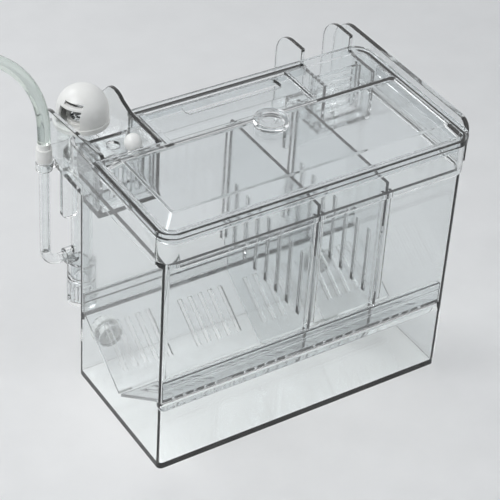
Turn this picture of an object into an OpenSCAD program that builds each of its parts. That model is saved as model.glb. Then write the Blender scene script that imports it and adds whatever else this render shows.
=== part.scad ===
// Hang-on breeding box for an aquarium: a clear tank that hangs outside the glass on two
// channels, with a lid, a V-shaped slotted trap, dividers and an air-driven lift tube.
// Millimetres. Z is up, Y runs from the front towards the aquarium, X runs to the right.
// The box stands on its flat floor at z = 0.

/* [Tank] */
// Outer length of the tank body, left to right
body_l = 154; // [140:1:200]
// Outer depth of the tank body, front to back
body_w = 76; // [70:1:100]
// Height of the tank, floor to the top of its collar
tank_h = 130; // [122:1:160]
// Wall of the tank body
wall = 2; // [1.5:0.1:2.5]
// Thickness of the tank floor
floor_t = 2.5; // [2:0.1:4]
// Height of the wider collar at the top
collar_h = 16; // [12:1:20]
// How far the collar stands out at the front and sides
collar_side = 2; // [2:0.5:4]
// How far the collar stands out behind the body
collar_rear = 10; // [9:0.5:14]
// Outer corner radius of the collar
collar_r = 8; // [4:0.5:12]
// Outer corner radius of the body
body_r = 2.5; // [1:0.5:3]
// Thickness of the side rail on the right of the collar
rail_t = 2.5; // [2:0.1:4]
// How far the side rail rises over the top of the collar
rail_rise = 6; // [4:1:12]

/* [Lid] */
// How far the lid's edge stands past the collar
lid_over = 1; // [0.5:0.5:3]
// Thickness of the lid's thick edge
lid_edge_t = 3; // [2.5:0.1:4]
// Width of the lid's thick edge
lid_edge_w = 4; // [3.5:0.5:5]
// Thickness of the lid's sheet
lid_t = 2; // [1.5:0.1:2.5]
// Height of the raised panel over the lid's edge
panel_rise = 5; // [4:0.5:8]
// Distance from the lid's edge to the foot of the raised panel
panel_border = 4; // [4:0.5:8]
// Width of the raised panel's bevel
panel_bevel = 4.5; // [3:0.5:7]
// Corner radius of the raised panel
panel_r = 2; // [1:0.5:4]
// Depth of the low strip behind the raised panel
strip_w = 32; // [31:1:36]
// Depth of the step in the low strip
strip_step = 1.5; // [1:0.1:2]
// Distance of the vent slot from the lid's left edge
vent_x = 57; // [50:1:58]
// Length of the vent slot in the low strip
vent_l = 50; // [30:1:52]
// Width of the vent slot
vent_w = 7; // [4:0.5:9]
// Depth of the lip that seats the lid in the collar
lip_h = 4; // [3:0.5:6]
// Thickness of that lip
lip_t = 1.5; // [1:0.1:2]
// Diameter of the feeding hole
feed_d = 12; // [8:0.5:16]
// Distance of the feeding hole to the right of the lid's middle
feed_dx = 0; // [0:1:12]
// Diameter of the feeding plug's round head
plug_d = 16; // [14:0.5:22]
// Height of the feeding plug's head
plug_h = 3.5; // [2:0.5:6]

/* [Channels] */
// Outer width of each channel over the aquarium rim
channel_w = 29; // [29:1:32]
// Thickness of the channel cheeks
cheek_t = 2; // [1.5:0.1:2.5]
// Thickness of the channel floor
channel_floor_t = 2.5; // [2:0.1:3.5]
// Depth of the channel's underside below the top of the collar
channel_drop = 28.5; // [26:0.5:32]
// Room for the aquarium's glass between the collar and the hook legs
glass_gap = 10; // [8:0.5:11]
// Thickness of the hook legs
leg_t = 2.5; // [2:0.1:3]
// Width of each hook leg on the inlet channel
leg_w = 8.4; // [6:0.2:8.6]
// How far the hook legs reach below the channel
leg_drop = 25.5; // [20:0.5:36]
// How far the inlet channel reaches into the tank from the collar's rear face
inlet_in = 27; // [25:1:28]
// How far the outlet channel reaches into the tank from the collar's rear face
outlet_in = 18; // [16:1:20]
// How far the outlet channel's cheeks reach behind the collar
outlet_out = 23; // [18:1:28]
// Height of the arched cheeks over the top of the collar
arch_rise = 8; // [6:0.5:12]
// Radius of the arched cheeks' rear corner
arch_r = 12; // [8:0.5:14]

/* [Lift tube] */
// Outer radius of the lift tube
tube_r = 5.5; // [5:0.1:6]
// Wall of the lift tube
tube_wall = 1.5; // [1:0.1:2]
// Height of the lift tube's lower end over the surface
tube_low = 34; // [28:1:50]
// Height of the lift tube's upper end over the channel floor
tube_up = 22.5; // [20:0.5:24]
// Gap between the white hood's base ring and the channel cheeks
hood_gap = 0.2; // [0.1:0.1:0.5]
// Step of the hood's body in from its base ring
hood_step = 0.3; // [0.2:0.1:0.8]
// Height of the hood's straight body
hood_h = 4; // [3:0.5:8]
// Wall of the hood
hood_wall = 1.6; // [1.2:0.1:2.2]
// Thickness of the hood's base ring
hood_ring_t = 2.5; // [2:0.1:4]
// Direction of the hood's window, from the front towards the left, in degrees
hood_turn = 62; // [0:1:90]
// Width of the hood's window
window_w = 11; // [8:0.5:14]
// Height of the hood's window
window_h = 8; // [5:0.5:8]
// Outer radius of the intake strainer
strainer_r = 7.5; // [7.3:0.1:9]
// Height of the intake strainer
strainer_h = 24; // [18:1:26]
// Number of slits round the strainer
strainer_slits = 10; // [6:1:12]
// Width of a slit in the strainer
slit_w = 1.8; // [1.2:0.1:2.2]

/* [Airline] */
// Outer diameter of the rigid air pipe
pipe_d = 5; // [4:0.1:6]
// Bore of the rigid air pipe
pipe_bore = 3; // [2:0.1:3.4]
// Gap between the air pipe and the inlet channel's cheek
pipe_gap = 2.5; // [1.5:0.5:4]
// Outer diameter of the airline hose
hose_d = 6; // [4:0.5:8]
// Width of the tie round the coil
tie_w = 4; // [3:0.5:6]
// Thickness of the tie's strip
tie_t = 0.6; // [0.4:0.1:1]

/* [Trap and dividers] */
// Height of the V trap's lowest line over the tank floor
apex_up = 12; // [8:1:20]
// Rise of each sloping plate from the middle to the wall
slope_rise = 24; // [18:1:30]
// Thickness of the sloping plates
plate_t = 1.6; // [1.2:0.1:2.5]
// Gap between the two plates at the bottom of the V
apex_gap = 2; // [1:0.5:3]
// Height of the plates' upright flange
flange_h = 11; // [6:1:14]
// Number of slot groups along each plate
slot_groups = 4; // [2:1:4]
// Number of slots in a group
group_slots = 5; // [3:1:5]
// Distance between slots
slot_pitch = 5.5; // [4.5:0.1:6]
// Width of a slot
slot_w = 2; // [1:0.1:2.4]
// Length of a slot up the slope
slot_l = 24; // [14:1:26]
// Thickness of the dividers
divider_t = 1.6; // [1.2:0.1:2.5]
// Height of the dividers' top edge below the top of the collar
divider_down = 9.5; // [9:0.5:14]
// Distance of the middle divider from the left end of the tank body
divider_1_x = 77; // [65:1:90]
// Distance of the outlet divider from the left end of the tank body
divider_2_x = 113; // [102:1:114]
// How far the trap can be lifted under the closed lid
trap_lift = 4; // [3:0.5:4]
// Number of slots in a divider
divider_slots = 7; // [3:1:9]

/* [Grille, gate and cover] */
// Thickness of the overflow grille
grille_t = 1.6; // [1.2:0.1:2]
// Height of the overflow grille
grille_h = 22; // [16:0.5:23.5]
// Distance of the grille from the collar's rear face
grille_in = 8; // [5:0.5:10]
// Number of openings between the grille's slats
grille_rows = 5; // [3:1:6]
// Height of the inlet gate
gate_h = 22.5; // [18:0.5:23]
// Distance of the inlet gate from the channel's inner end
gate_in = 3.2; // [2.8:0.1:3.4]
// Thickness of the inlet gate
gate_t = 1.6; // [1.2:0.1:2]
// Radius of the gate's white ball knob
knob_r = 4; // [3:0.1:4.2]
// Length of the channel cover in front of the hood
cover_l = 15.5; // [12:0.5:15.5]
// Height of the channel cover
cover_h = 16; // [10:0.5:18]

/* [Levelling screws] */
// Radius of the screw shank
screw_r = 3; // [2:0.1:3.5]
// Radius of the screw's knurled head
screw_head_r = 7; // [5:0.1:8]
// Thickness of the screw's head
screw_head_t = 3.6; // [3:0.1:4]
// Length of the boss on the tank's back
boss_l = 4.5; // [3.5:0.1:4.5]
// Radius of that boss
boss_r = 6; // [5:0.1:7]
// Thickness of the soft pad
pad_t = 1.5; // [1:0.1:1.5]
// Radius of the soft pad
pad_r = 5.5; // [4:0.1:6]
// Height of the screws over the surface
screw_z = 16; // [12:1:30]
// Distance of each screw from the end of the tank body
screw_in = 18; // [12:1:40]

/* [Clearances] */
// Clearance round lift-out pieces
fit = 0.3; // [0.2:0.05:0.4]
// Clearance round turning and sliding shafts
run_fit = 0.05; // [0.03:0.01:0.08]
// Clearance between fixed pieces
seat_fit = 0.2; // [0.1:0.05:0.3]

/* [Hidden] */
$fn = 48;
e = 0.01;

// Colours
clear = [0.80, 0.86, 0.88, 0.35];
clear_dark = [0.62, 0.70, 0.72, 0.45];
white = [0.93, 0.93, 0.92];
soft_grey = [0.45, 0.46, 0.47];
hose_clear = [0.78, 0.86, 0.90, 0.6];

// Overall plan: the lid and the side rail set the length, the lid and the inlet channel the depth
lid_l = body_l + 2 * collar_side + 2 * lid_over;
lid_w = body_w + collar_side + collar_rear + 2 * lid_over;
tube_back = glass_gap + fit + max(strainer_r, tube_r + 2);
hood_ring_r = channel_w / 2 - cheek_t - hood_gap;
hood_r = hood_ring_r - hood_step;
inlet_end = tube_back + hood_ring_r + fit + cheek_t;
clip_r = pipe_d / 2 + 1.4;
pipe_in = lid_over + collar_side + wall + seat_fit - pipe_gap - pipe_d / 2;
left_over = max(0, clip_r - pipe_in);
total_l = left_over + lid_l + fit + rail_t;
total_w = lid_w - lid_over + inlet_end;
lid_x = left_over - total_l / 2;
lid_y = -total_w / 2;
collar_x = lid_x + lid_over;
collar_y = lid_y + lid_over;
collar_l = body_l + 2 * collar_side;
collar_w = body_w + collar_side + collar_rear;
body_x = collar_x + collar_side;
body_y = collar_y + collar_side;
body_mid_y = body_y + body_w / 2;
rear_y = collar_y + collar_w;
back_y = body_y + body_w;
collar_z = tank_h - collar_h;
lid_z = tank_h + lid_edge_t;
rail_x = lid_x + lid_l + fit;

// Channels
channel_z = tank_h - channel_drop;
channel_top = channel_z + channel_floor_t;
inlet_x = body_x + wall + seat_fit;
outlet_x = body_x + body_l - wall - seat_fit - channel_w;
leg_y = rear_y + glass_gap;
inner_w = channel_w - 2 * cheek_t;
tube_x = inlet_x + channel_w / 2;
tube_y = rear_y + tube_back;
arch_z = tank_h + arch_rise;
gate_y = rear_y - inlet_in + gate_in;
gate_top = channel_top + fit + gate_h;
grille_y = rear_y - grille_in;

// Trap
plate_l = body_l - 2 * wall - 2 * fit;
apex_z = floor_t + apex_up;
slope_run = body_w / 2 - wall - fit - apex_gap / 2;
slope_len = norm([slope_run, slope_rise]);
slope = slope_rise / slope_run;
slope_a = atan2(slope_rise, slope_run);
ledge_z = apex_z + slope_rise;
flange_top = ledge_z + flange_h;
divider_top = tank_h - divider_down;

// Lift tube
hood_z = channel_top + tube_up - 5;
strainer_z = tube_low + 9 - strainer_h;
pipe_x = inlet_x - pipe_gap - pipe_d / 2;
nozzle_z = tube_low + 14;
pipe_top = channel_z + 8.5;
barb_top = pipe_top + 6;

// The airline's route, chosen by hand: up from the barb, over to the left, down to the surface
// and along it to the coil
hose_r = hose_d / 2;
coil_pitch = hose_d + 0.6;
coil_turns = 3;
coil_in_r = 25;
coil_out_r = coil_in_r + coil_turns * coil_pitch;
coil_x = -182;
coil_y = 24;
coil_z = tie_t + 0.1 + hose_r;
hose_route = [[pipe_x, tube_y, barb_top], [pipe_x, tube_y, barb_top + hose_d],
    [-80, 46, 131], [-82.5, 46.5, 141], [-87.5, 48, 151], [-95, 50, 159], [-105, 52.5, 164],
    [-117, 55.5, 165], [-128, 58.5, 160.5], [-136, 61, 152], [-140.5, 63, 140], [-142, 64.5, 125],
    [-142.5, 65.5, 105], [-142.5, 66.5, 80], [-143, 67.5, 58], [-145, 68, 40], [-149.5, 68.5, 25],
    [-155, 68.8, 12.5], [-162, coil_y + coil_out_r, coil_z + 2],
    [coil_x + 2 * hose_d, coil_y + coil_out_r, coil_z],
    [coil_x + hose_d, coil_y + coil_out_r, coil_z]];

// A rectangle with round corners, its lower left corner at the origin
module rounded_plate(l, w, r, t) {
    linear_extrude(t) {
        translate([r, 0]) square([l - 2 * r, w]);
        translate([0, r]) square([l, w - 2 * r]);
        for (x = [r, l - r], y = [r, w - r]) translate([x, y]) circle(r);
    }
}

// An outline in Y and Z, as thick as t along X
module side_profile(t) {
    rotate([90, 0, 90]) linear_extrude(t) children();
}

// Points of an arc, for outlines
function arc(cx, cy, r, a0, a1, steps = 10) =
    [for (i = [0:steps]) let (a = a0 + (a1 - a0) * i / steps) [cx + r * cos(a), cy + r * sin(a)]];

function divider_x(i) = body_x + (i == 0 ? divider_1_x : divider_2_x);

// Tank ------------------------------------------------------------------------------------

module tank_body() {
    inner_r = 2.5 * fit; // small, so that the trap's square corners clear it
    color(clear) difference() {
        union() {
            translate([body_x, body_y, 0]) rounded_plate(body_l, body_w, body_r, collar_z + wall);
            translate([collar_x, collar_y, collar_z]) rounded_plate(collar_l, collar_w, collar_r, collar_h);
            side_rail();
            for (x = screw_xs()) translate([x, back_y - e, screw_z]) rotate([-90, 0, 0])
                cylinder(r = boss_r, h = boss_l + e);
        }
        translate([body_x + wall, body_y + wall, floor_t])
            rounded_plate(body_l - 2 * wall, body_w - 2 * wall, inner_r, tank_h);
        translate([collar_x + wall, collar_y + wall, collar_z + wall])
            rounded_plate(collar_l - 2 * wall, collar_w - 2 * wall, collar_r - wall, collar_h);
        channel_cutout(inlet_x);
        channel_cutout(outlet_x);
        for (x = screw_xs()) translate([x, back_y + fit, screw_z]) rotate([-90, 0, 0])
            cylinder(r = screw_r + run_fit, h = boss_l + 1);
    }
    color(clear) trap_ledges();
    color(clear) for (i = [0, 1]) divider_guides(divider_x(i));
}

function screw_xs() = [body_x + screw_in, body_x + body_l - screw_in];

// Where a channel passes through the back wall and the collar
module channel_cutout(x) {
    translate([x - seat_fit, back_y - wall - e, channel_z])
        cube([channel_w + 2 * seat_fit, wall + collar_rear + 1, tank_h]);
}

// The upright rail along the right of the collar, round at its rear corner like the cheeks
module side_rail() {
    rail_front = collar_y + collar_r;
    rail_back = rear_y + outlet_out;
    rib_l = rear_y - rail_front - collar_r - 2;
    translate([rail_x, 0, 0]) side_profile(rail_t) polygon(concat(
        [[rail_front, collar_z], [rear_y + 4, collar_z], [rail_back, channel_z]],
        arc(rail_back - arch_r, tank_h + rail_rise - arch_r, arch_r, 0, 90),
        arc(rail_front + 6, tank_h + rail_rise - 6, 6, 90, 180)));
    translate([collar_x + collar_l - wall, rail_front + 1, collar_z])
        cube([rail_x - collar_x - collar_l + wall + e, rib_l, wall]);
}

// Sloping ledges along the front and back walls that carry the trap's plates
module trap_ledges() {
    ledge = 2.4;
    top = ledge_z - 0.1;
    for (side = [0, 1]) translate([0, body_mid_y * 2 * side, 0]) mirror([0, side, 0])
        translate([body_x + wall - e, body_y + wall, 0]) side_profile(body_l - 2 * wall + 2 * e) polygon([
            [-e, top + fit * slope], [ledge, top - (ledge - fit) * slope],
            [ledge, top - (ledge - fit) * slope - 1.5], [-e, top - 2 * ledge]]);
}

// Two upright ribs on the front and back walls that guide a divider, clear of the trap's lift
module divider_guides(x) {
    rib = 1.5;
    low = flange_top + trap_lift + 1;
    for (side = [-1, 1], y = [body_y + wall - e, back_y - wall - rib + e])
        translate([x + side * (divider_t / 2 + fit + rib / 2) - rib / 2, y, low])
            cube([rib, rib, collar_z + wall - low]);
}

// Channels ----------------------------------------------------------------------------------

module hook_leg(x, w) {
    round = 3;
    translate([x, leg_y, channel_z - leg_drop]) difference() {
        cube([w, leg_t, leg_drop + e]);
        for (side = [0, 1]) translate([side * w, -1, 0]) mirror([side, 0, 0]) difference() {
            translate([-1, 0, -1]) cube([round + 1, leg_t + 2, round + 1]);
            translate([round, -1, round]) rotate([-90, 0, 0]) cylinder(r = round, h = leg_t + 4);
        }
    }
}

// Two small ribs inside each cheek, with a groove between them for a plate
module plate_groove(x, y, t, top) {
    rib = 1;
    for (side = [0, 1], k = [-1, 1])
        translate([side == 0 ? x + cheek_t - e : x + channel_w - cheek_t - rib + e,
            y + (k == -1 ? -fit - rib : t + fit), channel_top - e])
            cube([rib, rib, top - channel_top]);
}

module inlet_channel() {
    front_y = rear_y - inlet_in;
    end_y = rear_y + inlet_end;
    top = lid_z + 0.5;
    arc_z = tank_h - 1 - arch_r;
    color(clear) difference() {
        union() {
            translate([inlet_x, front_y, channel_z]) cube([channel_w, end_y - front_y, channel_floor_t]);
            // Left cheek, low and straight
            translate([inlet_x, 0, 0]) side_profile(cheek_t) polygon(concat(
                [[end_y, channel_z], [front_y, channel_z]],
                arc(front_y + 3, top - 3, 3, 180, 90),
                arc(end_y - arch_r, arc_z, arch_r, 90, 0)));
            // Right cheek, arched over the aquarium's rim
            translate([inlet_x + channel_w - cheek_t, 0, 0]) side_profile(cheek_t) polygon(concat(
                [[end_y, channel_z], [front_y, channel_z]],
                arc(front_y + 3, top - 3, 3, 180, 90),
                [[rear_y - 3, top]],
                arc(rear_y + 12, arch_z - 11, 11, 125, 60),
                arc(end_y - arch_r, arc_z, arch_r, 60, 0)));
            translate([inlet_x, end_y - cheek_t, channel_z]) cube([channel_w, cheek_t, arc_z - channel_z]);
            hook_leg(inlet_x, leg_w);
            hook_leg(inlet_x + channel_w - leg_w, leg_w);
            // Socket that holds the lift tube under the floor
            translate([tube_x, tube_y, channel_z - 5]) cylinder(r = tube_r + 2, h = 5 + e);
            plate_groove(inlet_x, gate_y, gate_t, gate_top - 2);
            // Clip for the rigid air pipe
            translate([pipe_x, tube_y, channel_z]) cylinder(r = clip_r, h = 4);
            translate([pipe_x, tube_y - 1.5, channel_z]) cube([inlet_x - pipe_x + e, 3, 4]);
        }
        translate([tube_x, tube_y, channel_z - 10]) cylinder(r = tube_r + run_fit, h = 20);
        translate([pipe_x, tube_y, channel_z - 1]) cylinder(r = pipe_d / 2 + run_fit, h = channel_drop + 2);
        // The glass stays clear of the lift tube's socket
        translate([inlet_x - 1, rear_y, channel_z - leg_drop]) cube([channel_w + 2, glass_gap, leg_drop]);
    }
}

module outlet_channel() {
    front_y = rear_y - outlet_in;
    end_y = rear_y + outlet_out;
    inside_top = tank_h - 2;
    lip_y = leg_y + leg_t;
    color(clear) {
        translate([outlet_x, front_y, channel_z]) cube([channel_w, lip_y - front_y, channel_floor_t]);
        translate([outlet_x, leg_y, channel_z - leg_drop]) cube([channel_w, leg_t, leg_drop + e]);
        for (x = [outlet_x, outlet_x + channel_w - cheek_t])
            translate([x, 0, 0]) side_profile(cheek_t) polygon(concat(
                [[leg_y, channel_z], [front_y, channel_z], [front_y, inside_top],
                    [rear_y + lid_over + 0.6, inside_top], [rear_y + lid_over + 0.6, arch_z]],
                arc(end_y - arch_r, arch_z - arch_r, arch_r, 90, 0),
                arc(end_y - 8, channel_z - 8, 8, 0, -90),
                [[leg_y, channel_z - 16]]));
        plate_groove(outlet_x, grille_y, grille_t, inside_top - 1.2);
    }
}

// Lid -----------------------------------------------------------------------------------------

// A block with sloping sides and round corners, used for the raised panel's outside and inside
module bevel_block(l, w, rise, bevel) {
    $fn = 24;
    hull() {
        rounded_plate(l, w, panel_r, e);
        translate([bevel, bevel, rise - e]) rounded_plate(l - 2 * bevel, w - 2 * bevel, panel_r, e);
    }
}

module lid() {
    panel_l = lid_l - 2 * panel_border;
    panel_w = lid_w - panel_border - strip_w;
    strip_y = lid_y + lid_w - strip_w;
    notch_l = inlet_x + channel_w + fit - lid_x;
    notch_w = inlet_in + lid_over + fit;
    step_x = lid_x + notch_l + 4;
    step_l = divider_x(1) - 3 - step_x;
    step_y = strip_y + 3;
    step_w = lid_y + lid_w - step_y - lid_over - wall - fit - lip_t - 0.2;
    sheet_z = lid_z - lid_t;
    lid_r = collar_r + lid_over;
    edge_r = max(1, lid_r - lid_edge_w);
    color(clear) difference() {
        union() {
            difference() {
                translate([lid_x, lid_y, tank_h]) rounded_plate(lid_l, lid_w, lid_r, lid_edge_t);
                translate([lid_x + lid_edge_w, lid_y + lid_edge_w, tank_h - e])
                    rounded_plate(lid_l - 2 * lid_edge_w, lid_w - 2 * lid_edge_w, edge_r, lid_edge_t - lid_t + e);
            }
            // Lip that seats in the collar
            translate([collar_x + wall + fit, collar_y + wall + fit, tank_h - lip_h]) difference() {
                rounded_plate(collar_l - 2 * (wall + fit), collar_w - 2 * (wall + fit), collar_r - wall, lip_h + 1.5);
                translate([lip_t, lip_t, -1]) rounded_plate(collar_l - 2 * (wall + fit + lip_t),
                    collar_w - 2 * (wall + fit + lip_t), collar_r - wall - lip_t, lip_h + 4);
            }
            translate([lid_x + panel_border, lid_y + panel_border, lid_z - e])
                bevel_block(panel_l, panel_w, panel_rise, panel_bevel);
            translate([step_x - lid_t, step_y - lid_t, sheet_z - strip_step])
                cube([step_l + 2 * lid_t, step_w + lid_t + 1, strip_step + e]);
        }
        // Inside of the raised panel
        translate([lid_x + panel_border + lid_t, lid_y + panel_border + lid_t, sheet_z - 2 * e])
            bevel_block(panel_l - 2 * lid_t, panel_w - 2 * lid_t, panel_rise + 2 * e, panel_bevel);
        // Step in the low strip, and its vent slot
        translate([step_x, step_y, lid_z - strip_step]) cube([step_l, step_w, strip_step + 1]);
        translate([lid_x + vent_x, step_y + step_w - vent_w - 1, sheet_z - strip_step - 1])
            rounded_plate(vent_l, vent_w, 2, lid_t + strip_step + 2);
        // Notch for the inlet channel
        translate([lid_x - 1, lid_y + lid_w - notch_w, tank_h - lip_h - 1])
            cube([notch_l + 1, notch_w + 1, lip_h + lid_edge_t + panel_rise + 2]);
        // Room in the lip for the outlet channel's cheeks
        translate([outlet_x - fit, rear_y - outlet_in, tank_h - lip_h - 1])
            cube([channel_w + 2 * fit + 3, outlet_in + lid_over + 1, lip_h + 1]);
        translate([feed_x(), feed_y(), lid_z]) cylinder(d = feed_d, h = panel_rise + 1);
    }
}

function feed_x() = lid_x + lid_l / 2 + feed_dx;
function feed_y() = lid_y + lid_w / 2;

module feed_plug() {
    top_z = lid_z + panel_rise;
    dish = plug_d * 0.9;
    color(clear) translate([feed_x(), feed_y(), 0]) difference() {
        union() {
            translate([0, 0, top_z]) cylinder(d = plug_d, h = plug_h);
            translate([0, 0, top_z - lid_t - 1]) cylinder(r = feed_d / 2 - fit, h = lid_t + 1 + e);
        }
        translate([0, 0, top_z + plug_h + dish]) sphere(r = dish + 1, $fn = 64);
    }
}

// Trap and dividers ------------------------------------------------------------------------------

// The front plate; its lowest edge is along the middle of the tank
module front_slope_plate() {
    wall_y = body_y + wall + fit;
    edge_y = body_mid_y - apex_gap / 2;
    flange_z = ledge_z + 0.2;
    group_gap = plate_l / slot_groups;
    cut_off = 2;
    color(clear_dark) {
        difference() {
            translate([body_x + wall + fit, edge_y, apex_z]) rotate([-slope_a, 0, 0])
                translate([0, -slope_len - cut_off, 0]) cube([plate_l, slope_len + cut_off, plate_t]);
            // The plate ends upright at the wall and in the middle
            translate([body_x, wall_y - 10, apex_z]) cube([body_l, 10, slope_rise + 10]);
            translate([body_x, edge_y, apex_z - 1]) cube([body_l, 10, 10]);
            for (g = [0:slot_groups - 1], s = [0:group_slots - 1]) {
                slot_x = body_x + wall + fit + group_gap * (g + 0.5) + slot_pitch * (s - (group_slots - 1) / 2);
                translate([slot_x, edge_y, apex_z]) rotate([-slope_a, 0, 0])
                    translate([-slot_w / 2, -(slope_len + slot_l) / 2, -1]) cube([slot_w, slot_l, plate_t + 2]);
            }
        }
        // Upright flange with two ribs along its top and middle
        translate([body_x + wall + fit, wall_y, flange_z]) cube([plate_l, plate_t, flange_top - flange_z]);
        for (z = [ledge_z + flange_h / 2, flange_top - 1.2])
            translate([body_x + wall + fit, wall_y + plate_t - e, z]) cube([plate_l, 0.8, 1.2]);
    }
}

module rear_slope_plate() {
    translate([0, 2 * body_mid_y, 0]) mirror([0, 1, 0]) front_slope_plate();
}

// A divider, cut below to the shape of the V
module divider(x) {
    half = body_w / 2 - wall - fit;
    low = plate_t / cos(slope_a) - slope * apex_gap / 2 + seat_fit;
    step = plate_t + 0.8 + 2 * fit;
    step_z = flange_top + 1;
    slot_gap = (2 * half - 8) / divider_slots;
    color(clear_dark) difference() {
        translate([x - divider_t / 2, body_mid_y, 0]) side_profile(divider_t) polygon([
            [-half, divider_top], [-half, step_z], [-half + step, step_z],
            [-half + step, apex_z + low + (half - step) * slope], [0, apex_z + low],
            [half - step, apex_z + low + (half - step) * slope],
            [half - step, step_z], [half, step_z], [half, divider_top]]);
        for (s = [0:divider_slots - 1])
            translate([x - divider_t, body_mid_y + slot_gap * (s - (divider_slots - 1) / 2) - slot_w / 2, step_z + 4])
                cube([2 * divider_t, slot_w, (divider_top - step_z) / 2]);
    }
}

module middle_divider() {
    divider(divider_x(0));
}

module outlet_divider() {
    divider(divider_x(1));
}

// Grille, gate and cover ---------------------------------------------------------------------------

module overflow_grille() {
    w = inner_w - 2 * fit;
    frame = 2.2;
    row = (grille_h - frame) / grille_rows;
    color(clear_dark) translate([outlet_x + cheek_t + fit, grille_y, channel_top + fit]) difference() {
        cube([w, grille_t, grille_h]);
        for (i = [0:grille_rows - 1]) translate([frame + 1, -1, frame + i * row])
            cube([w - 2 * frame - 2, grille_t + 2, row - 1.4]);
    }
}

module inlet_gate() {
    w = inner_w - 2 * fit;
    color(clear_dark) translate([inlet_x + cheek_t + fit, gate_y, channel_top + fit]) difference() {
        cube([w, gate_t, gate_h]);
        for (s = [0:3]) translate([5 + s * (w - 12) / 3, -1, 3]) cube([slot_w, gate_t + 2, gate_h - 8]);
    }
}

// White ball on a short stem with a ring, clipped over the gate's upper edge
module gate_knob() {
    color(white) translate([tube_x + 3, gate_y + gate_t / 2, gate_top]) {
        cylinder(r = 2.6, h = 1.2);
        cylinder(r = 1.6, h = 4);
        translate([0, 0, 3 + knob_r]) sphere(r = knob_r);
    }
}

// Clear cover over the channel in front of the hood, open towards the tank
module channel_cover() {
    w = inner_w - 2 * fit - 2;
    t = 1.6;
    color(clear_dark) translate([tube_x - w / 2, rear_y - cover_l - 3, channel_top + 6]) difference() {
        union() {
            translate([0, 0, cover_h - t]) cube([w, cover_l, t]);
            for (x = [0, w - t]) translate([x, 0, -6 + fit]) cube([t, cover_l, cover_h + 6 - fit]);
            translate([0, cover_l - t, 0]) cube([w, t, cover_h]);
        }
        translate([w / 2, cover_l / 2, cover_h - t - 1]) cylinder(r = 3, h = t + 2);
    }
}

// Lift tube -------------------------------------------------------------------------------------

module lift_tube() {
    top_z = channel_top + tube_up;
    color(clear) translate([tube_x, tube_y, 0]) difference() {
        union() {
            translate([0, 0, tube_low]) cylinder(r = tube_r, h = top_z - tube_low);
            // Stop ring on the channel floor and the hood's seat
            translate([0, 0, channel_top]) cylinder(r = tube_r + 2, h = 2);
            translate([0, 0, hood_z - 2]) cylinder(r = tube_r + 2, h = 2 - run_fit);
            // Nozzle socket for the air pipe
            translate([0, 0, nozzle_z]) rotate([0, -90, 0]) cylinder(r = pipe_d / 2 + 1.5, h = tube_r + 4);
        }
        translate([0, 0, tube_low - 1]) cylinder(r = tube_r - tube_wall, h = top_z);
        translate([0, 0, nozzle_z]) rotate([0, -90, 0]) cylinder(r = pipe_d / 2 + run_fit, h = tube_r + 10);
    }
}

module lift_hood() {
    body_z = hood_z + hood_ring_t;
    dome_z = body_z + hood_h;
    inner_r = hood_r - hood_wall;
    color(white) translate([tube_x, tube_y, 0]) difference() {
        union() {
            translate([0, 0, hood_z]) cylinder(r = hood_ring_r, h = hood_ring_t);
            translate([0, 0, body_z - e]) cylinder(r = hood_r, h = hood_h + 2 * e);
            translate([0, 0, dome_z]) intersection() {
                sphere(r = hood_r, $fn = 64);
                translate([-hood_r, -hood_r, 0]) cube(2 * hood_r);
            }
        }
        difference() {
            union() {
                translate([0, 0, body_z]) cylinder(r = inner_r, h = hood_h);
                translate([0, 0, dome_z - e]) intersection() {
                    sphere(r = inner_r, $fn = 64);
                    translate([-hood_r, -hood_r, 0]) cube(2 * hood_r);
                }
            }
            translate([0, 0, body_z - 1]) cylinder(r = tube_r + 1.8, h = 4);
        }
        translate([0, 0, hood_z - 1]) cylinder(r = tube_r + run_fit, h = 12);
        // Window towards the front left, and a narrow air slot over it
        rotate([0, 0, -hood_turn]) {
            translate([-window_w / 2, -hood_r - 2, body_z + 1]) cube([window_w, hood_r - 1, window_h]);
            translate([2 - window_w / 2, -hood_r - 1, body_z + window_h + 2.2])
                cube([window_w - 2, 9, 1.6]);
        }
    }
}

module intake_strainer() {
    socket = 9;
    cage = strainer_h - socket;
    color(clear_dark) translate([tube_x, tube_y, strainer_z]) difference() {
        union() {
            cylinder(r = strainer_r, h = cage);
            translate([0, 0, cage]) cylinder(r1 = strainer_r, r2 = tube_r + 1.8, h = 2);
            translate([0, 0, cage + 1]) cylinder(r = tube_r + 1.8, h = socket - 1);
        }
        translate([0, 0, 2]) cylinder(r = strainer_r - 1.6, h = cage - 3.5);
        translate([0, 0, cage - 2]) cylinder(r = tube_r - tube_wall, h = socket);
        translate([0, 0, cage]) cylinder(r = tube_r + run_fit, h = socket + 1);
        for (i = [0:strainer_slits - 1]) rotate([0, 0, i * 360 / strainer_slits])
            translate([strainer_r - 3, -slit_w / 2, 3]) cube([5, slit_w, cage - 6]);
    }
}

// Rigid pipe that leads the air down to the lift tube
module air_pipe() {
    bend = 7;
    reach = tube_x - tube_r - 0.5 - pipe_x;
    color(clear) translate([pipe_x, tube_y, 0]) difference() {
        union() {
            translate([0, 0, nozzle_z + bend]) cylinder(d = pipe_d, h = pipe_top - nozzle_z - bend);
            translate([bend, 0, nozzle_z]) rotate([0, 90, 0]) cylinder(d = pipe_d, h = reach - bend);
            translate([bend, 0, nozzle_z + bend]) rotate([90, 180, 0])
                rotate_extrude(angle = 90) translate([bend, 0]) circle(d = pipe_d);
        }
        translate([0, 0, nozzle_z + bend]) cylinder(d = pipe_bore, h = tank_h);
        translate([bend, 0, nozzle_z]) rotate([0, 90, 0]) cylinder(d = pipe_bore, h = reach);
    }
}

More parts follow.
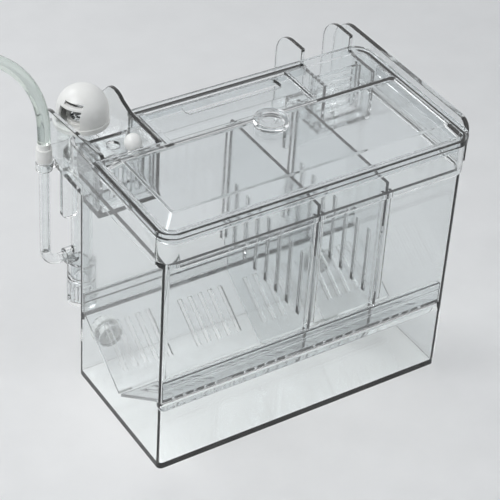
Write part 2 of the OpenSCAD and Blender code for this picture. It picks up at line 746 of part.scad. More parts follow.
module air_barb() {
    color(white) translate([pipe_x, tube_y, 0]) difference() {
        union() {
            translate([0, 0, pipe_top - 4]) cylinder(r = pipe_d / 2 + 1.2, h = 7);
            translate([0, 0, pipe_top + 3 - e]) cylinder(r = hose_r, h = 3 + e);
        }
        translate([0, 0, pipe_top - 5]) cylinder(r = pipe_d / 2 + run_fit, h = 5);
        translate([0, 0, pipe_top - 1]) cylinder(d = pipe_bore, h = 10);
    }
}

// Levelling screws ----------------------------------------------------------------------------------

screw_tip = back_y + 2 * fit;
head_y = back_y + boss_l + fit;

module level_screw(x) {
    ribs = 18;
    color(white) translate([x, 0, screw_z]) rotate([-90, 0, 0]) difference() {
        union() {
            translate([0, 0, screw_tip]) cylinder(r = screw_r, h = head_y - screw_tip + e);
            translate([0, 0, head_y]) cylinder(r = screw_head_r, h = screw_head_t);
        }
        for (i = [0:ribs - 1]) rotate([0, 0, i * 360 / ribs])
            translate([screw_head_r, 0, head_y - 1]) cylinder(r = 0.6, h = screw_head_t + 2, $fn = 16);
        translate([0, 0, head_y + screw_head_t - 2]) cylinder(r = 1.5 + run_fit, h = 3);
    }
}

module level_pad(x) {
    pad_y = head_y + screw_head_t + 0.1;
    color(soft_grey) translate([x, 0, screw_z]) rotate([-90, 0, 0]) {
        translate([0, 0, pad_y]) cylinder(r = pad_r, h = pad_t);
        translate([0, 0, pad_y - 1.7]) cylinder(r = 1.5, h = 1.7 + e);
    }
}

module level_screw_left() {
    level_screw(screw_xs()[0]);
}

module level_screw_right() {
    level_screw(screw_xs()[1]);
}

module level_pad_left() {
    level_pad(screw_xs()[0]);
}

module level_pad_right() {
    level_pad(screw_xs()[1]);
}

// Airline ---------------------------------------------------------------------------------------------

function unit(v) = v / norm(v);
function along(path, i) = unit(path[min(i + 1, len(path) - 1)] - path[max(i - 1, 0)]);

// A tube swept along a path, with one ring of points at each point of the path
module swept_tube(path, r, sides, across) {
    last = len(path) - 1;
    rings = [for (i = [0:last])
        let (t = along(path, i), u = unit(cross(t, across)), v = cross(t, u))
        for (k = [0:sides - 1]) path[i] + r * (cos(360 * k / sides) * u + sin(360 * k / sides) * v)];
    walls = [for (i = [0:last - 1], k = [0:sides - 1])
        let (a = i * sides + k, b = i * sides + (k + 1) % sides)
        each [[a, a + sides, b + sides], [a, b + sides, b]]];
    caps = [for (k = [1:sides - 2]) each [[0, k, k + 1],
        [last * sides, last * sides + k + 1, last * sides + k]]];
    polyhedron(rings, concat(walls, caps));
}

// The coil winds inwards on the surface and draws in a little more over its last quarter turn
function coil_r(turn) = coil_out_r - coil_pitch * turn
    - 1.5 * pow(max(0, turn - coil_turns + 0.25) / 0.25, 2);
function coil_point(turn) = [coil_x - coil_r(turn) * sin(360 * turn),
    coil_y + coil_r(turn) * cos(360 * turn), coil_z];
coil_route = concat([[coil_x + hose_d, coil_y + coil_out_r, coil_z]],
    [for (i = [0:24 * coil_turns]) coil_point(i / 24)],
    [coil_point(coil_turns) - [hose_d, 0, 0]]);

airline_route = concat(hose_route, [for (i = [1:len(coil_route) - 1]) coil_route[i]]);
airline_gap = min([for (i = [0:len(airline_route) - 13], k = [i + 12:len(airline_route) - 1])
    norm(airline_route[i] - airline_route[k])]) - hose_d;
function path_length(path, i = 1) =
    i >= len(path) ? 0 : norm(path[i] - path[i - 1]) + path_length(path, i + 1);
echo(least_gap_of_the_airline_to_itself = airline_gap);
echo(length_of_the_airline = path_length(airline_route));

module airline_hose() {
    color(hose_clear) swept_tube(hose_route, hose_r, 8, [0, 1, 0]);
}

module airline_coil() {
    color(hose_clear) swept_tube(coil_route, hose_r, 6, [0, 0, 1]);
}

// A flat strip looped round the coil's turns at the front
module coil_tie() {
    slack = 0.25;
    inner_y = coil_y - coil_r(0.5) - hose_r - slack;
    inner_l = coil_r(0.5) - coil_r(coil_turns - 0.5) + 2 * hose_r + 2 * slack;
    inner_h = coil_z + hose_r + slack - tie_t;
    color(white) translate([coil_x - tie_w / 2, inner_y, tie_t]) rotate([90, 0, 90]) difference() {
        translate([-tie_t, -tie_t, 0])
            rounded_plate(inner_l + 2 * tie_t, inner_h + 2 * tie_t, 1.5 + tie_t, tie_w);
        translate([0, 0, -1]) rounded_plate(inner_l, inner_h, 1.5, tie_w + 2);
    }
}

tank_body();
inlet_channel();
outlet_channel();
lid();
feed_plug();
front_slope_plate();
rear_slope_plate();
middle_divider();
outlet_divider();
overflow_grille();
inlet_gate();
gate_knob();
channel_cover();
lift_tube();
lift_hood();
intake_strainer();
air_pipe();
air_barb();
level_screw_left();
level_screw_right();
level_pad_left();
level_pad_right();
airline_hose();
airline_coil();
coil_tie();
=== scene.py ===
# %% [markdown]
# # A hang-on breeding box, dressed for its picture
# The construction comes ready-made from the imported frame, with every moulding at its real size.
# This lesson gives the mouldings rounded edges and a believable clear plastic, lays the airline,
# and lights the box softly. Lengths are metres, as everywhere in Blender, so a number that is
# easier to read in millimetres is multiplied by MM.

# %% Load the frame
import math
import bmesh
import bpy
from mathutils import Matrix, Quaternion, Vector
from mathutils.geometry import delaunay_2d_cdt


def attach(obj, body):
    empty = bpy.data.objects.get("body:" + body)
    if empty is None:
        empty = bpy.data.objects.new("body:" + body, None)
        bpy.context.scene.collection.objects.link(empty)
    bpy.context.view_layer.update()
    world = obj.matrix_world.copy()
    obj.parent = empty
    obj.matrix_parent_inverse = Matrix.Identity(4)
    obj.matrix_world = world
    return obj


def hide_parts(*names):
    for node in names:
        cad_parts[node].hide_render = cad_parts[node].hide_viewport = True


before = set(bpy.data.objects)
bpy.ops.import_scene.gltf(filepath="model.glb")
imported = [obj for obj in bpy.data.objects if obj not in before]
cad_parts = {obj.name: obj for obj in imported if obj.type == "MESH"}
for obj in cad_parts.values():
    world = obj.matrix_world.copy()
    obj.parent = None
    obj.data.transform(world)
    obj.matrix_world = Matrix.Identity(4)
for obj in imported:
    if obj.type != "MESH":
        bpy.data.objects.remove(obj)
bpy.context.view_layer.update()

MM = 0.001

# %% [markdown]
# ## The camera
# The picture was taken from the front left and from above, close enough to show perspective.
# The camera is placed by its direction and distance from a point inside the box, and rolled a
# little, because the box leans in the picture.

# %% Place the camera
LOOK_AT = Vector((-3.9, -12.2, 67.6)) * MM
CAMERA_AZIMUTH = math.radians(-34.3)
CAMERA_ELEVATION = math.radians(37.5)
CAMERA_ROLL = math.radians(3.85)
CAMERA_DISTANCE = 0.88
CAMERA_LENS = 137.7
CLOSEST_SEEN = 10 * MM

towards_camera = Vector((
    math.sin(CAMERA_AZIMUTH) * math.cos(CAMERA_ELEVATION),
    -math.cos(CAMERA_AZIMUTH) * math.cos(CAMERA_ELEVATION),
    math.sin(CAMERA_ELEVATION)))
camera_data = bpy.data.cameras.new("camera")
camera_data.lens = CAMERA_LENS
camera_data.clip_start = CLOSEST_SEEN
camera = bpy.data.objects.new("camera", camera_data)
camera.location = LOOK_AT + towards_camera * CAMERA_DISTANCE
camera.rotation_mode = "QUATERNION"
level = (-towards_camera).to_track_quat("-Z", "Y")
camera.rotation_quaternion = level @ Quaternion((0, 0, 1), CAMERA_ROLL)
bpy.context.scene.collection.objects.link(camera)
bpy.context.scene.camera = camera
print("camera at", [round(v, 3) for v in camera.location])

# %% [markdown]
# ## Effects that several finishes share
# A new moulding is never perfectly even. It has hair-fine scratches from packing and handling,
# smudges where fingers held it, and a long, faint waviness in its walls. Each effect is one node
# group that puts out a mask or a height, and every finish below uses them with its own values.

# %% Start a node group


def new_group(name, inputs, outputs):
    """An empty node group with named inputs and outputs; returns it and its two end nodes."""
    group = bpy.data.node_groups.new(name, "ShaderNodeTree")
    for label, value in inputs.items():
        kind = "NodeSocketVector" if value is None else "NodeSocketFloat"
        made = group.interface.new_socket(label, in_out="INPUT", socket_type=kind)
        if value is not None:
            made.default_value = value
    for label in outputs:
        group.interface.new_socket(label, in_out="OUTPUT", socket_type="NodeSocketFloat")
    return group, group.nodes.new("NodeGroupInput"), group.nodes.new("NodeGroupOutput")


def add(tree, kind, inputs=(), **settings):
    """Add a node, set its properties, and fill its inputs with numbers or with links."""
    node = tree.nodes.new(kind)
    for key, value in settings.items():
        setattr(node, key, value)
    for key, value in dict(inputs).items():
        if isinstance(value, bpy.types.NodeSocket):
            tree.links.new(value, node.inputs[key])
        else:
            node.inputs[key].default_value = value
    return node


def math_node(tree, operation, a, b=None, clamp=False):
    """A Math node's result."""
    inputs = {0: a} if b is None else {0: a, 1: b}
    return add(tree, "ShaderNodeMath", inputs, operation=operation, use_clamp=clamp).outputs[0]


def remap(tree, value, from_low, from_high, to_low, to_high):
    """A Map Range node's result, kept between its ends."""
    return add(tree, "ShaderNodeMapRange", {"Value": value, "From Min": from_low,
        "From Max": from_high, "To Min": to_low, "To Max": to_high}).outputs["Result"]


# %% Hair-fine scratches: thin slices out of stretched noise, in three directions
SCRATCH_DIRECTIONS = ((0.6, 46), (-0.9, 60), (1.9, 38))
SCRATCH_GRAIN = 22
SCRATCH_WIDTH = 0.012
scratches, ends_in, ends_out = new_group("fine scratches",
    {"Position": None, "Scale": 1.0, "Amount": 0.5}, ["Mask"])
lines = []
for turn, stretch in SCRATCH_DIRECTIONS:
    turned = add(scratches, "ShaderNodeMapping", {"Vector": ends_in.outputs["Position"],
        "Rotation": (turn, 0.7 * turn, turn),
        "Scale": (SCRATCH_GRAIN, SCRATCH_GRAIN * stretch, SCRATCH_GRAIN * stretch * 0.6)})
    scaled = add(scratches, "ShaderNodeVectorMath", {0: turned.outputs["Vector"],
        "Scale": ends_in.outputs["Scale"]}, operation="SCALE")
    grain = add(scratches, "ShaderNodeTexNoise", {"Vector": scaled.outputs["Vector"],
        "Scale": 1.0, "Detail": 1.0, "Roughness": 0.5})
    off_middle = math_node(scratches, "ABSOLUTE",
        math_node(scratches, "SUBTRACT", grain.outputs["Fac"], 0.5))
    lines.append(remap(scratches, off_middle, 0.0, SCRATCH_WIDTH, 1.0, 0.0))
patches = add(scratches, "ShaderNodeTexNoise", {"Vector": ends_in.outputs["Position"],
    "Scale": 55.0, "Detail": 2.0})
where = remap(scratches, patches.outputs["Fac"], 0.48, 0.62, 0.0, 1.0)
two_ways = math_node(scratches, "MAXIMUM", lines[0], lines[1])
all_ways = math_node(scratches, "MAXIMUM", two_ways, lines[2])
shown = math_node(scratches, "MULTIPLY", all_ways, where)
mask = math_node(scratches, "MULTIPLY", shown, ends_in.outputs["Amount"], clamp=True)
scratches.links.new(mask, ends_out.inputs["Mask"])
print("group:", scratches.name, "nodes:", len(scratches.nodes))

# %% Smudges: soft blotches broken up by a finer noise
smudges, ends_in, ends_out = new_group("smudges",
    {"Position": None, "Scale": 60.0, "Amount": 0.5}, ["Mask"])
broad = add(smudges, "ShaderNodeTexNoise", {"Vector": ends_in.outputs["Position"],
    "Scale": ends_in.outputs["Scale"], "Detail": 3.0, "Distortion": 0.6})
finer = add(smudges, "ShaderNodeTexNoise", {"Vector": ends_in.outputs["Position"],
    "Scale": 900.0, "Detail": 2.0})
blot = remap(smudges, broad.outputs["Fac"], 0.45, 0.7, 0.0, 1.0)
grain = remap(smudges, finer.outputs["Fac"], 0.3, 0.6, 0.4, 1.0)
broken = math_node(smudges, "MULTIPLY", blot, grain)
mask = math_node(smudges, "MULTIPLY", broken, ends_in.outputs["Amount"], clamp=True)
smudges.links.new(mask, ends_out.inputs["Mask"])
print("group:", smudges.name, "nodes:", len(smudges.nodes))

# %% Moulding waves: the long unevenness of a wall that cooled in its mould, with a fine skin on it
waves, ends_in, ends_out = new_group("moulding waves",
    {"Position": None, "Wave scale": 30.0, "Skin scale": 700.0, "Skin": 0.1}, ["Height"])
long_wave = add(waves, "ShaderNodeTexNoise", {"Vector": ends_in.outputs["Position"],
    "Scale": ends_in.outputs["Wave scale"], "Detail": 1.0, "Roughness": 0.4})
skin = add(waves, "ShaderNodeTexNoise", {"Vector": ends_in.outputs["Position"],
    "Scale": ends_in.outputs["Skin scale"], "Detail": 2.0})
fine_part = math_node(waves, "MULTIPLY", skin.outputs["Fac"], ends_in.outputs["Skin"])
height = math_node(waves, "ADD", long_wave.outputs["Fac"], fine_part)
waves.links.new(height, ends_out.inputs["Height"])
print("group:", waves.name, "nodes:", len(waves.nodes))


def place_group(tree, group, position, **values):
    """Put a node group in a material with its own values; underscores stand for spaces."""
    node = add(tree, "ShaderNodeGroup", node_tree=group)
    tree.links.new(position, node.inputs["Position"])
    for label, value in values.items():
        node.inputs[label.replace("_", " ")].default_value = value
    return node.outputs[0]


# %% [markdown]
# ## Clear plastic
# The box, its lid and its inserts are clear styrene. Light goes through two faces of every wall,
# and the shader shares the tint between them, so the tint is set for a whole wall. Seen edge-on
# the same plastic looks darker and greyer, because there is more of it along the line of sight;
# a Layer Weight mix gives that. Light that only casts shadow passes straight through, which keeps
# the shadow of clear parts light.

# %% A clear plastic, from its tint and its state
STYRENE_IOR = 1.57
EDGE_BLEND = 0.28
MARKS_ROUGHEN = 0.22
WALL_WAVE = 0.4 * MM


def clear_plastic(name, tint, edge_tint, roughness, smudge, scratch, wave, ior=STYRENE_IOR,
        shade=0.96, wave_scale=30.0):
    """A clear moulding. The tints are for one wall, seen square on and edge-on."""
    material = bpy.data.materials.new(name)
    material.use_nodes = True
    tree = material.node_tree
    tree.nodes.clear()
    position = add(tree, "ShaderNodeTexCoord").outputs["Object"]
    smudge_mask = place_group(tree, smudges, position, Amount=smudge)
    scratch_mask = place_group(tree, scratches, position, Amount=scratch)
    marks = math_node(tree, "MAXIMUM", smudge_mask, scratch_mask)
    height = place_group(tree, waves, position, Wave_scale=wave_scale)
    bump = add(tree, "ShaderNodeBump", {"Height": height, "Strength": wave, "Distance": WALL_WAVE})
    edge_on = add(tree, "ShaderNodeLayerWeight", {"Blend": EDGE_BLEND}).outputs["Facing"]
    colour = add(tree, "ShaderNodeMix", {"Factor": edge_on, 6: (*tint, 1), 7: (*edge_tint, 1)},
        data_type="RGBA")
    rough = remap(tree, marks, 0.0, 1.0, roughness, roughness + MARKS_ROUGHEN)
    plastic = add(tree, "ShaderNodeBsdfPrincipled", {"Base Color": colour.outputs[2],
        "Roughness": rough, "IOR": ior, "Transmission Weight": 1.0,
        "Normal": bump.outputs["Normal"]})
    through = add(tree, "ShaderNodeBsdfTransparent", {"Color": (shade, shade, shade, 1)})
    shadow = add(tree, "ShaderNodeLightPath").outputs["Is Shadow Ray"]
    mixed = add(tree, "ShaderNodeMixShader",
        {0: shadow, 1: plastic.outputs[0], 2: through.outputs[0]})
    add(tree, "ShaderNodeOutputMaterial", {"Surface": mixed.outputs[0]})
    return material


clear_tank = clear_plastic("clear tank styrene", (0.975, 0.985, 0.985), (0.80, 0.85, 0.86),
    roughness=0.015, smudge=0.25, scratch=0.3, wave=0.05)
clear_lid = clear_plastic("clear lid styrene", (0.885, 0.905, 0.915), (0.66, 0.71, 0.73),
    roughness=0.03, smudge=0.35, scratch=0.5, wave=0.07, shade=0.93)
clear_insert = clear_plastic("clear insert styrene", (0.95, 0.965, 0.97), (0.76, 0.81, 0.82),
    roughness=0.03, smudge=0.3, scratch=0.3, wave=0.06)
hose_plastic = clear_plastic("clear airline vinyl", (0.87, 0.905, 0.885), (0.58, 0.65, 0.62),
    roughness=0.10, smudge=0.3, scratch=0.1, wave=0.10, ior=1.52, shade=0.8, wave_scale=160.0)
print("clear finishes:", [m.name for m in (clear_tank, clear_lid, clear_insert, hose_plastic)])

# %% [markdown]
# ## Opaque plastics and the soft pads
# The hood, the knob, the screws and the tie are white plastic with a slight sheen. The pads are
# a grey closed-cell foam rubber, dull and finely pitted.

# %% White plastic and soft rubber
HARD_PLASTIC_IOR = 1.49
SMUDGES_ROUGHEN = 0.2
SKIN_WAVE = 0.1 * MM


def opaque_plastic(name, colour, worn, roughness, grain, grain_scale, smudge=0.4):
    """A moulded plastic or rubber: its colour drifts towards a worn tone in blotches."""
    material = bpy.data.materials.new(name)
    material.use_nodes = True
    tree = material.node_tree
    tree.nodes.clear()
    position = add(tree, "ShaderNodeTexCoord").outputs["Object"]
    smudge_mask = place_group(tree, smudges, position, Amount=smudge, Scale=110.0)
    scratch_mask = place_group(tree, scratches, position, Amount=0.4, Scale=1.6)
    mixed = add(tree, "ShaderNodeMix", {"Factor": smudge_mask, 6: (*colour, 1), 7: (*worn, 1)},
        data_type="RGBA")
    rough = remap(tree, math_node(tree, "MAXIMUM", smudge_mask, scratch_mask), 0.0, 1.0,
        roughness, min(1.0, roughness + SMUDGES_ROUGHEN))
    height = place_group(tree, waves, position, Wave_scale=60.0, Skin_scale=grain_scale, Skin=0.8)
    bump = add(tree, "ShaderNodeBump",
        {"Height": height, "Strength": grain, "Distance": SKIN_WAVE})
    plastic = add(tree, "ShaderNodeBsdfPrincipled", {"Base Color": mixed.outputs[2],
        "Roughness": rough, "IOR": HARD_PLASTIC_IOR, "Normal": bump.outputs["Normal"]})
    add(tree, "ShaderNodeOutputMaterial", {"Surface": plastic.outputs[0]})
    return material


white_plastic = opaque_plastic("white plastic", (0.86, 0.86, 0.84), (0.76, 0.75, 0.71),
    roughness=0.28, grain=0.25, grain_scale=2200.0)
soft_rubber = opaque_plastic("soft grey rubber", (0.12, 0.125, 0.13), (0.18, 0.18, 0.18),
    roughness=0.75, grain=0.9, grain_scale=3600.0)
print("opaque finishes:", white_plastic.name, soft_rubber.name)

# %% [markdown]
# ## The airline
# A soft clear tube of 6 mm outer diameter brings air from a pump. It leaves the barb upwards,
# arches over to the left and comes down to the table, where its spare length lies in a flat coil.
# A tube that bends is swept: one ring of points at each step of the route, bridged to the next.
# The inside wall is swept the same way, so light passes through two real walls.

# %% The airline's route, in millimetres until its last line
HOSE_D = 6 * MM
HOSE_BORE = 4 * MM
PIPE_X, TUBE_Y, BARB_TOP = -79.35, 46.1, 116
COIL_X, COIL_Y, COIL_Z = -182, 24, 3.7
COIL_TURNS = 3
COIL_PITCH = 6.6
COIL_IN_R = 25
COIL_OUT_R = COIL_IN_R + COIL_TURNS * COIL_PITCH
DRAWN_IN = 1.5
STRAIGHT_END = 6

hose_route = [(PIPE_X, TUBE_Y, BARB_TOP), (PIPE_X, TUBE_Y, BARB_TOP + STRAIGHT_END),
    (-80, 46, 131), (-82.5, 46.5, 141), (-87.5, 48, 151), (-95, 50, 159), (-105, 52.5, 164),
    (-117, 55.5, 165), (-128, 58.5, 160.5), (-136, 61, 152), (-140.5, 63, 140), (-142, 64.5, 125),
    (-142.5, 65.5, 105), (-142.5, 66.5, 80), (-143, 67.5, 58), (-145, 68, 40), (-149.5, 68.5, 25),
    (-155, 68.8, 12.5), (-162, COIL_Y + COIL_OUT_R, COIL_Z + 2),
    (COIL_X + 12, COIL_Y + COIL_OUT_R, COIL_Z), (COIL_X + 6, COIL_Y + COIL_OUT_R, COIL_Z)]


def coil_point(turn):
    """A point of the coil after so many turns, drawn in a little more over the last quarter."""
    last_quarter = max(0, turn - COIL_TURNS + 0.25) / 0.25
    drawn_in = DRAWN_IN * last_quarter ** 2
    r = COIL_OUT_R - COIL_PITCH * turn - drawn_in
    a = 2 * math.pi * turn
    return (COIL_X - r * math.sin(a), COIL_Y + r * math.cos(a), COIL_Z)


STEPS_PER_TURN = 24
coil_route = [coil_point(i / STEPS_PER_TURN) for i in range(STEPS_PER_TURN * COIL_TURNS + 1)]
end_x, end_y, end_z = coil_route[-1]
coil_route.append((end_x - STRAIGHT_END, end_y, end_z))
airline_route = [Vector(p) * MM for p in hose_route + coil_route]
print("route points:", len(airline_route))

# %% Sweep a hollow tube


def smooth_path(points, parts):
    """The same route with extra points between, on a Catmull-Rom curve."""
    path = []
    for i in range(len(points) - 1):
        p0, p1 = points[max(i - 1, 0)], points[i]
        p2, p3 = points[i + 1], points[min(i + 2, len(points) - 1)]
        for k in range(parts):
            t = k / parts
            path.append(0.5 * (2 * p1 + (p2 - p0) * t + (2 * p0 - 5 * p1 + 4 * p2 - p3) * t * t
                + (3 * p1 - p0 - 3 * p2 + p3) * t ** 3))
    return path + [points[-1]]


def sweep_rings(bm, path, radius, sides):
    """One circle of vertices round each point of the path, turned square to it."""
    rings = []
    across = Vector((0, 1, 0))
    for i, point in enumerate(path):
        along = (path[min(i + 1, len(path) - 1)] - path[max(i - 1, 0)]).normalized()
        across = (across - along * across.dot(along)).normalized()
        turn = Matrix((across, along.cross(across), along)).transposed().to_4x4()
        made = bmesh.ops.create_circle(bm, segments=sides, radius=radius,
            matrix=Matrix.Translation(point) @ turn)
        rings.append(made["verts"])
    return rings


def ring_edges(ring):
    """The edges of one circle."""
    inside = set(ring)
    near = dict.fromkeys(e for v in ring for e in v.link_edges)
    return [e for e in near if set(e.verts) <= inside]


def hollow_tube(name, path, outer, inner, sides=20):
    """A tube with an inner and an outer wall, closed at both ends by its own thickness."""
    bm = bmesh.new()
    walls = [sweep_rings(bm, path, r, sides) for r in (outer, inner)]
    edges = [[ring_edges(r) for r in wall] for wall in walls]
    for wall in edges:
        for one, other in zip(wall, wall[1:]):
            bmesh.ops.bridge_loops(bm, edges=one + other)
    for end in (0, -1):
        bmesh.ops.bridge_loops(bm, edges=edges[0][end] + edges[1][end])
    bmesh.ops.recalc_face_normals(bm, faces=bm.faces)
    return finished(name, bm)


def finished(name, bm, smooth_under=40):
    """A mesh object from a bmesh: smooth, except where two faces meet at more than that angle."""
    mesh = bpy.data.meshes.new(name)
    bm.to_mesh(mesh)
    bm.free()
    mesh.polygons.foreach_set("use_smooth", [True] * len(mesh.polygons))
    mesh.set_sharp_from_angle(angle=math.radians(smooth_under))
    obj = bpy.data.objects.new(name, mesh)
    bpy.context.scene.collection.objects.link(obj)
    return obj


# %% Lay the airline
STEPS_BETWEEN_POINTS = 3
airline_path = smooth_path(airline_route, STEPS_BETWEEN_POINTS)
airline = hollow_tube("airline", airline_path, HOSE_D / 2, HOSE_BORE / 2)
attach(airline, "tank")
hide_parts("airline_hose", "airline_coil")
airline.data.materials.append(hose_plastic)

# %% [markdown]
# ## Rounding the mouldings
# Nothing that comes out of an injection mould has a knife edge. The construction's meshes do, so
# each moulding is copied, its loose triangles are merged, flat faces are made whole again, and
# every sharp edge is bevelled by a few tenths of a millimetre. On clear plastic those small rounds
# are what catches the light, so they matter more here than any other detail.
#
# Where many edges meet, a bevel can push a face's outline over itself, and on clear plastic such a
# face shows as a dark patch. A narrower bevel would avoid it but lose the light on the edges, so
# those few faces are found by adding up their triangles, and filled again over just what their
# outline goes round.

# %% Find the faces that a round has pushed out of shape
FAULT_AREA = 0.003 * MM * MM


def faulty_faces(bm):
    """The faces whose triangles don't add up to them: their outline runs over itself."""
    size = dict.fromkeys(bm.faces, 0.0)
    turned = dict.fromkeys(bm.faces, 0.0)
    for corners in bm.calc_loop_triangles():
        a, b, c = [corner.vert.co for corner in corners]
        across = (b - a).cross(c - a) / 2
        face = corners[0].face
        size[face] += across.length
        if across.dot(face.normal) < 0:
            turned[face] += across.length
    return [f for f in bm.faces
        if turned[f] > FAULT_AREA or abs(size[f] - f.calc_area()) > FAULT_AREA]


def times_round(place, outline):
    """How many times an outline goes round a place, to the left."""
    turns = 0
    for a, b in zip(outline, outline[1:] + outline[:1]):
        if (a.y > place.y) != (b.y > place.y):
            on_left = (b - a).cross(place - a) > 0
            turns += int(on_left and b.y > a.y) - int(not on_left and b.y < a.y)
    return turns


# %% Fill such a face again
SAME_PLACE_MM = 0.0001


def fill_again(bm, face):
    """Replace a face by triangles over just what its outline goes round; returns new corners."""
    to_flat = face.normal.rotation_difference(Vector((0, 0, 1))).to_matrix() * (1 / MM)
    corners = list(face.verts)
    placed = [to_flat @ v.co for v in corners]
    outline = [p.to_2d() for p in placed]
    height = sum(p.z for p in placed) / len(placed)
    sides = [(i, (i + 1) % len(outline)) for i in range(len(outline))]
    points, _, triangles, origins, _, _ = delaunay_2d_cdt(outline, sides, [], 0, SAME_PLACE_MM)
    to_place = to_flat.inverted()
    verts = [corners[origin[0]] if origin else bm.verts.new(to_place @ Vector((*point, height)))
        for point, origin in zip(points, origins)]
    bm.faces.remove(face)
    for triangle in triangles:
        turns = times_round(sum((points[k] for k in triangle), Vector((0, 0))) / 3, outline)
        ring = [verts[k] for k in triangle]
        if turns and not bm.faces.get(ring):
            bm.faces.new(ring if turns > 0 else ring[::-1])
    return [vert for vert, origin in zip(verts, origins) if not origin]


# %% Close the skin round the refilled faces
SLIT_MM = 0.02


def close_seams(bm, crossings):
    """Give the neighbours the same corners, draw slits together, and fill what stays open."""
    near = SAME_PLACE_MM * MM
    seams = [e for e in bm.edges if len(e.link_faces) == 1]
    for vert in crossings:
        for edge in list(seams):
            start, end = edge.verts
            span = end.co - start.co
            share = (vert.co - start.co).dot(span) / max(span.length_squared, near * near)
            if 0 < share < 1 and (start.co + span * share - vert.co).length < 2 * near:
                made, corner = bmesh.utils.edge_split(edge, start, share)
                corner.co = vert.co
                seams.append(made)
    bmesh.ops.remove_doubles(bm, verts=bm.verts, dist=near)
    slits = [e for e in bm.edges if len(e.link_faces) == 1]
    lips = list(dict.fromkeys(v for e in slits for v in e.verts))
    bmesh.ops.remove_doubles(bm, verts=lips, dist=SLIT_MM * MM)
    slits = [e for e in bm.edges if len(e.link_faces) == 1]
    bmesh.ops.holes_fill(bm, edges=slits, sides=0)
    stray = [e for e in bm.edges if not e.link_faces]
    bmesh.ops.delete(bm, geom=stray, context="EDGES")
    return sum(1 for e in bm.edges if len(e.link_faces) != 2)


# %% A moulding with rounded edges
ONE_CORNER_MM = 0.004
ONE_FLAT_FACE = math.radians(0.6)
SHORTEST_EDGE_MM = 0.06
SHARP_EDGE = math.radians(35)
SMOOTH_UNDER = 50


def moulded(node, body, slot, material, edge_round):
    """Stand a copy of a construction piece in its place, with its sharp edges rounded."""
    bm = bmesh.new()
    bm.from_mesh(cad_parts[node].data)
    bmesh.ops.remove_doubles(bm, verts=bm.verts, dist=ONE_CORNER_MM * MM)
    bmesh.ops.dissolve_limit(bm, angle_limit=ONE_FLAT_FACE, verts=bm.verts, edges=bm.edges)
    bmesh.ops.dissolve_degenerate(bm, edges=bm.edges, dist=SHORTEST_EDGE_MM * MM)
    sharp_volume = bm.calc_volume()
    sharp = [e for e in bm.edges
        if len(e.link_faces) == 2 and e.calc_face_angle(0) > SHARP_EDGE]
    bmesh.ops.bevel(bm, geom=sharp, offset=edge_round * MM, offset_type="OFFSET", affect="EDGES",
        segments=2, profile=0.5, material=-1, clamp_overlap=False)
    bm.normal_update()
    faulty = faulty_faces(bm)
    crossings = [vert for face in faulty for vert in fill_again(bm, face)]
    seams = close_seams(bm, crossings)
    bm.normal_update()
    print(node, "edges rounded:", len(sharp), "faces filled again:", len(faulty), "still faulty:",
        len(faulty_faces(bm)), "open seams:", seams, "volume kept:",
        round(bm.calc_volume() / sharp_volume, 4))
    piece = finished(node + "_moulding", bm, smooth_under=SMOOTH_UNDER)
    piece.data.materials.append(material)
    weighted = piece.modifiers.new("flat faces stay flat", "WEIGHTED_NORMAL")
    weighted.keep_sharp = True
    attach(piece, body)
    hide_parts(node)
    return piece


# %% [markdown]
# ## All the mouldings
# Each piece takes the round that its mould would give it: thick walls a wider one, the slim tie
# and the fine ribs of the screws a narrower one. The table says which body a piece moves with,
# which material of the record it has, its finish here, and the round's width in millimetres.

# %% Round every moulding
moulding_facts = {
    "tank_body": ("tank", "clear_tank", clear_tank, 0.3),
    "inlet_channel": ("tank", "clear_tank", clear_tank, 0.3),
    "outlet_channel": ("tank", "clear_tank", clear_tank, 0.3),
    "lift_tube": ("tank", "clear_tank", clear_tank, 0.3),
    "air_pipe": ("tank", "clear_tank", clear_tank, 0.25),
    "air_barb": ("tank", "white_plastic", white_plastic, 0.2),
    "coil_tie": ("tank", "white_plastic", white_plastic, 0.12),
    "lid": ("lid", "clear_lid", clear_lid, 0.3),
    "feed_plug": ("feed_plug", "clear_lid", clear_lid, 0.4),
    "front_slope_plate": ("trap", "clear_insert", clear_insert, 0.3),
    "rear_slope_plate": ("trap", "clear_insert", clear_insert, 0.3),
    "middle_divider": ("middle_divider", "clear_insert", clear_insert, 0.3),
    "outlet_divider": ("outlet_divider", "clear_insert", clear_insert, 0.3),
    "overflow_grille": ("overflow_grille", "clear_insert", clear_insert, 0.25),
    "inlet_gate": ("inlet_gate", "clear_insert", clear_insert, 0.25),
    "gate_knob": ("inlet_gate", "white_plastic", white_plastic, 0.25),
    "channel_cover": ("channel_cover", "clear_insert", clear_insert, 0.3),
    "lift_hood": ("lift_hood", "white_plastic", white_plastic, 0.2),
    "intake_strainer": ("intake_strainer", "clear_insert", clear_insert, 0.25),
    "level_screw_left": ("level_screw_left", "white_plastic", white_plastic, 0.2),
    "level_screw_right": ("level_screw_right", "white_plastic", white_plastic, 0.2),
    "level_pad_left": ("level_pad_left", "soft_pad", soft_rubber, 0.3),
    "level_pad_right": ("level_pad_right", "soft_pad", soft_rubber, 0.3),
}
mouldings = {node: moulded(node, *facts) for node, facts in moulding_facts.items()}
faces = sum(len(piece.data.polygons) for piece in mouldings.values())
print("mouldings:", len(mouldings), "faces:", faces)

# %% [markdown]
# ## The stage
# A pale floor lies a hair below the box, so that the two faces don't fall together. It keeps the
# box's shadow and fades into the pale surround further out, because a hard horizon would show
# through every clear wall. The same pale tone has to be seen through clear plastic and in its
# gloss, while the light that it casts is set apart, so both ask what kind of ray has arrived.

# %% What is seen directly, through clear plastic or as a reflection


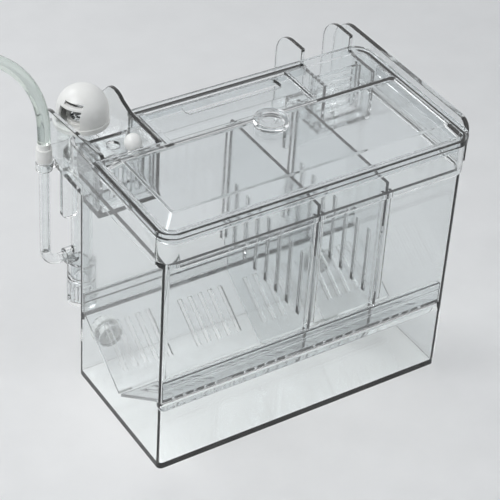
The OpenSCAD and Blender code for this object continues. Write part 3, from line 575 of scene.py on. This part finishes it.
def seen_directly(tree):
    """1 for rays that show a surface, 0 for those that only carry light."""
    kind = add(tree, "ShaderNodeLightPath").outputs
    through = math_node(tree, "MAXIMUM", kind["Is Glossy Ray"], kind["Is Transmission Ray"])
    return math_node(tree, "MAXIMUM", kind["Is Camera Ray"], through)


# %% Floor
FLOOR_GAP = 0.15 * MM
FLOOR_HALF = 2.5
bm = bmesh.new()
bmesh.ops.create_grid(bm, x_segments=1, y_segments=1, size=FLOOR_HALF,
    matrix=Matrix.Translation((0, 0, -FLOOR_GAP)))
floor = finished("floor", bm)
print("floor", 2 * FLOOR_HALF, "m across,", FLOOR_GAP / MM, "mm below the box")

# %% The floor's pale, matt finish, which fades into the surround away from the box
FLOOR_TONES = (0.80, 0.83)
FADE_FROM, FADE_TO = 0.35, 1.1
SURROUND_SEEN = 0.88
floor_material = bpy.data.materials.new("pale floor")
floor_material.use_nodes = True
tree = floor_material.node_tree
tree.nodes.clear()
position = add(tree, "ShaderNodeTexCoord").outputs["Object"]
mottle = add(tree, "ShaderNodeTexNoise", {"Vector": position, "Scale": 40.0, "Detail": 3.0})
pale = remap(tree, mottle.outputs["Fac"], 0.3, 0.7, *FLOOR_TONES)
floor_colour = add(tree, "ShaderNodeCombineColor", {0: pale, 1: pale, 2: pale})
matt = add(tree, "ShaderNodeBsdfPrincipled", {"Base Color": floor_colour.outputs[0],
    "Roughness": 0.9, "Specular IOR Level": 0.2})
away = add(tree, "ShaderNodeVectorMath", {0: position}, operation="LENGTH").outputs["Value"]
far_out = remap(tree, away, FADE_FROM, FADE_TO, 0.0, 1.0)
fading = math_node(tree, "MULTIPLY", far_out, seen_directly(tree))
pale_end = add(tree, "ShaderNodeEmission", {"Color": (1, 1, 1, 1), "Strength": SURROUND_SEEN})
faded = add(tree, "ShaderNodeMixShader", {0: fading, 1: matt.outputs[0], 2: pale_end.outputs[0]})
add(tree, "ShaderNodeOutputMaterial", {"Surface": faded.outputs[0]})
floor.data.materials.append(floor_material)
print("floor fades into the surround from", FADE_FROM, "to", FADE_TO, "m")

# %% [markdown]
# ## Lamps and surround
# A large soft lamp stands overhead and to the left, a smaller one behind puts a glint on the
# rounded edges, and a very wide, weak one fills the front right. The wide one is wide because its
# mirror image shows on the flat lid: a small lamp of the same power would burn it out. They are
# set so that a mid grey renders as a mid grey. The surround's colour is a little under white, so
# that the glints still stand out before it.

# %% Lamps: place, the point that each is aimed at, size in metres and power in watts


def soft_lamp(name, place, aim, size, power):
    """A square area lamp that the camera doesn't see."""
    data = bpy.data.lights.new(name, "AREA")
    data.size = size
    data.energy = power
    lamp = bpy.data.objects.new(name, data)
    lamp.location = place
    lamp.rotation_euler = (Vector(aim) - Vector(place)).to_track_quat("-Z", "Y").to_euler()
    lamp.visible_camera = False
    bpy.context.scene.collection.objects.link(lamp)
    return lamp


lamps = [
    soft_lamp("key lamp", (-0.75, 0.10, 0.95), (0, 0, 0.05), 0.6, 6.0),
    soft_lamp("back lamp", (-0.30, 0.80, 0.85), (0, 0, 0.08), 0.4, 2.2),
    soft_lamp("fill lamp", (0.75, -0.65, 0.55), (0, 0, 0.05), 1.4, 2.6),
]
print("lamps:", [(lamp.name, round(lamp.data.energy, 1)) for lamp in lamps])

# %% Surround: what it looks like, and the cooler, weaker light that it casts
CAST_COLOUR = (0.80, 0.84, 0.88, 1)
CAST_STRENGTH = 0.45
world = bpy.data.worlds.new("surround")
bpy.context.scene.world = world
world.use_nodes = True
tree = world.node_tree
tree.nodes.clear()
lit = add(tree, "ShaderNodeBackground", {"Color": CAST_COLOUR, "Strength": CAST_STRENGTH})
pale_end = add(tree, "ShaderNodeBackground", {"Color": (1, 1, 1, 1), "Strength": SURROUND_SEEN})
surround = add(tree, "ShaderNodeMixShader", {0: seen_directly(tree), 1: lit.outputs[0],
    2: pale_end.outputs[0]})
add(tree, "ShaderNodeOutputWorld", {"Surface": surround.outputs[0]})
bpy.context.scene.view_settings.view_transform = "Standard"
print("surround seen at", SURROUND_SEEN, "and casting", CAST_STRENGTH)
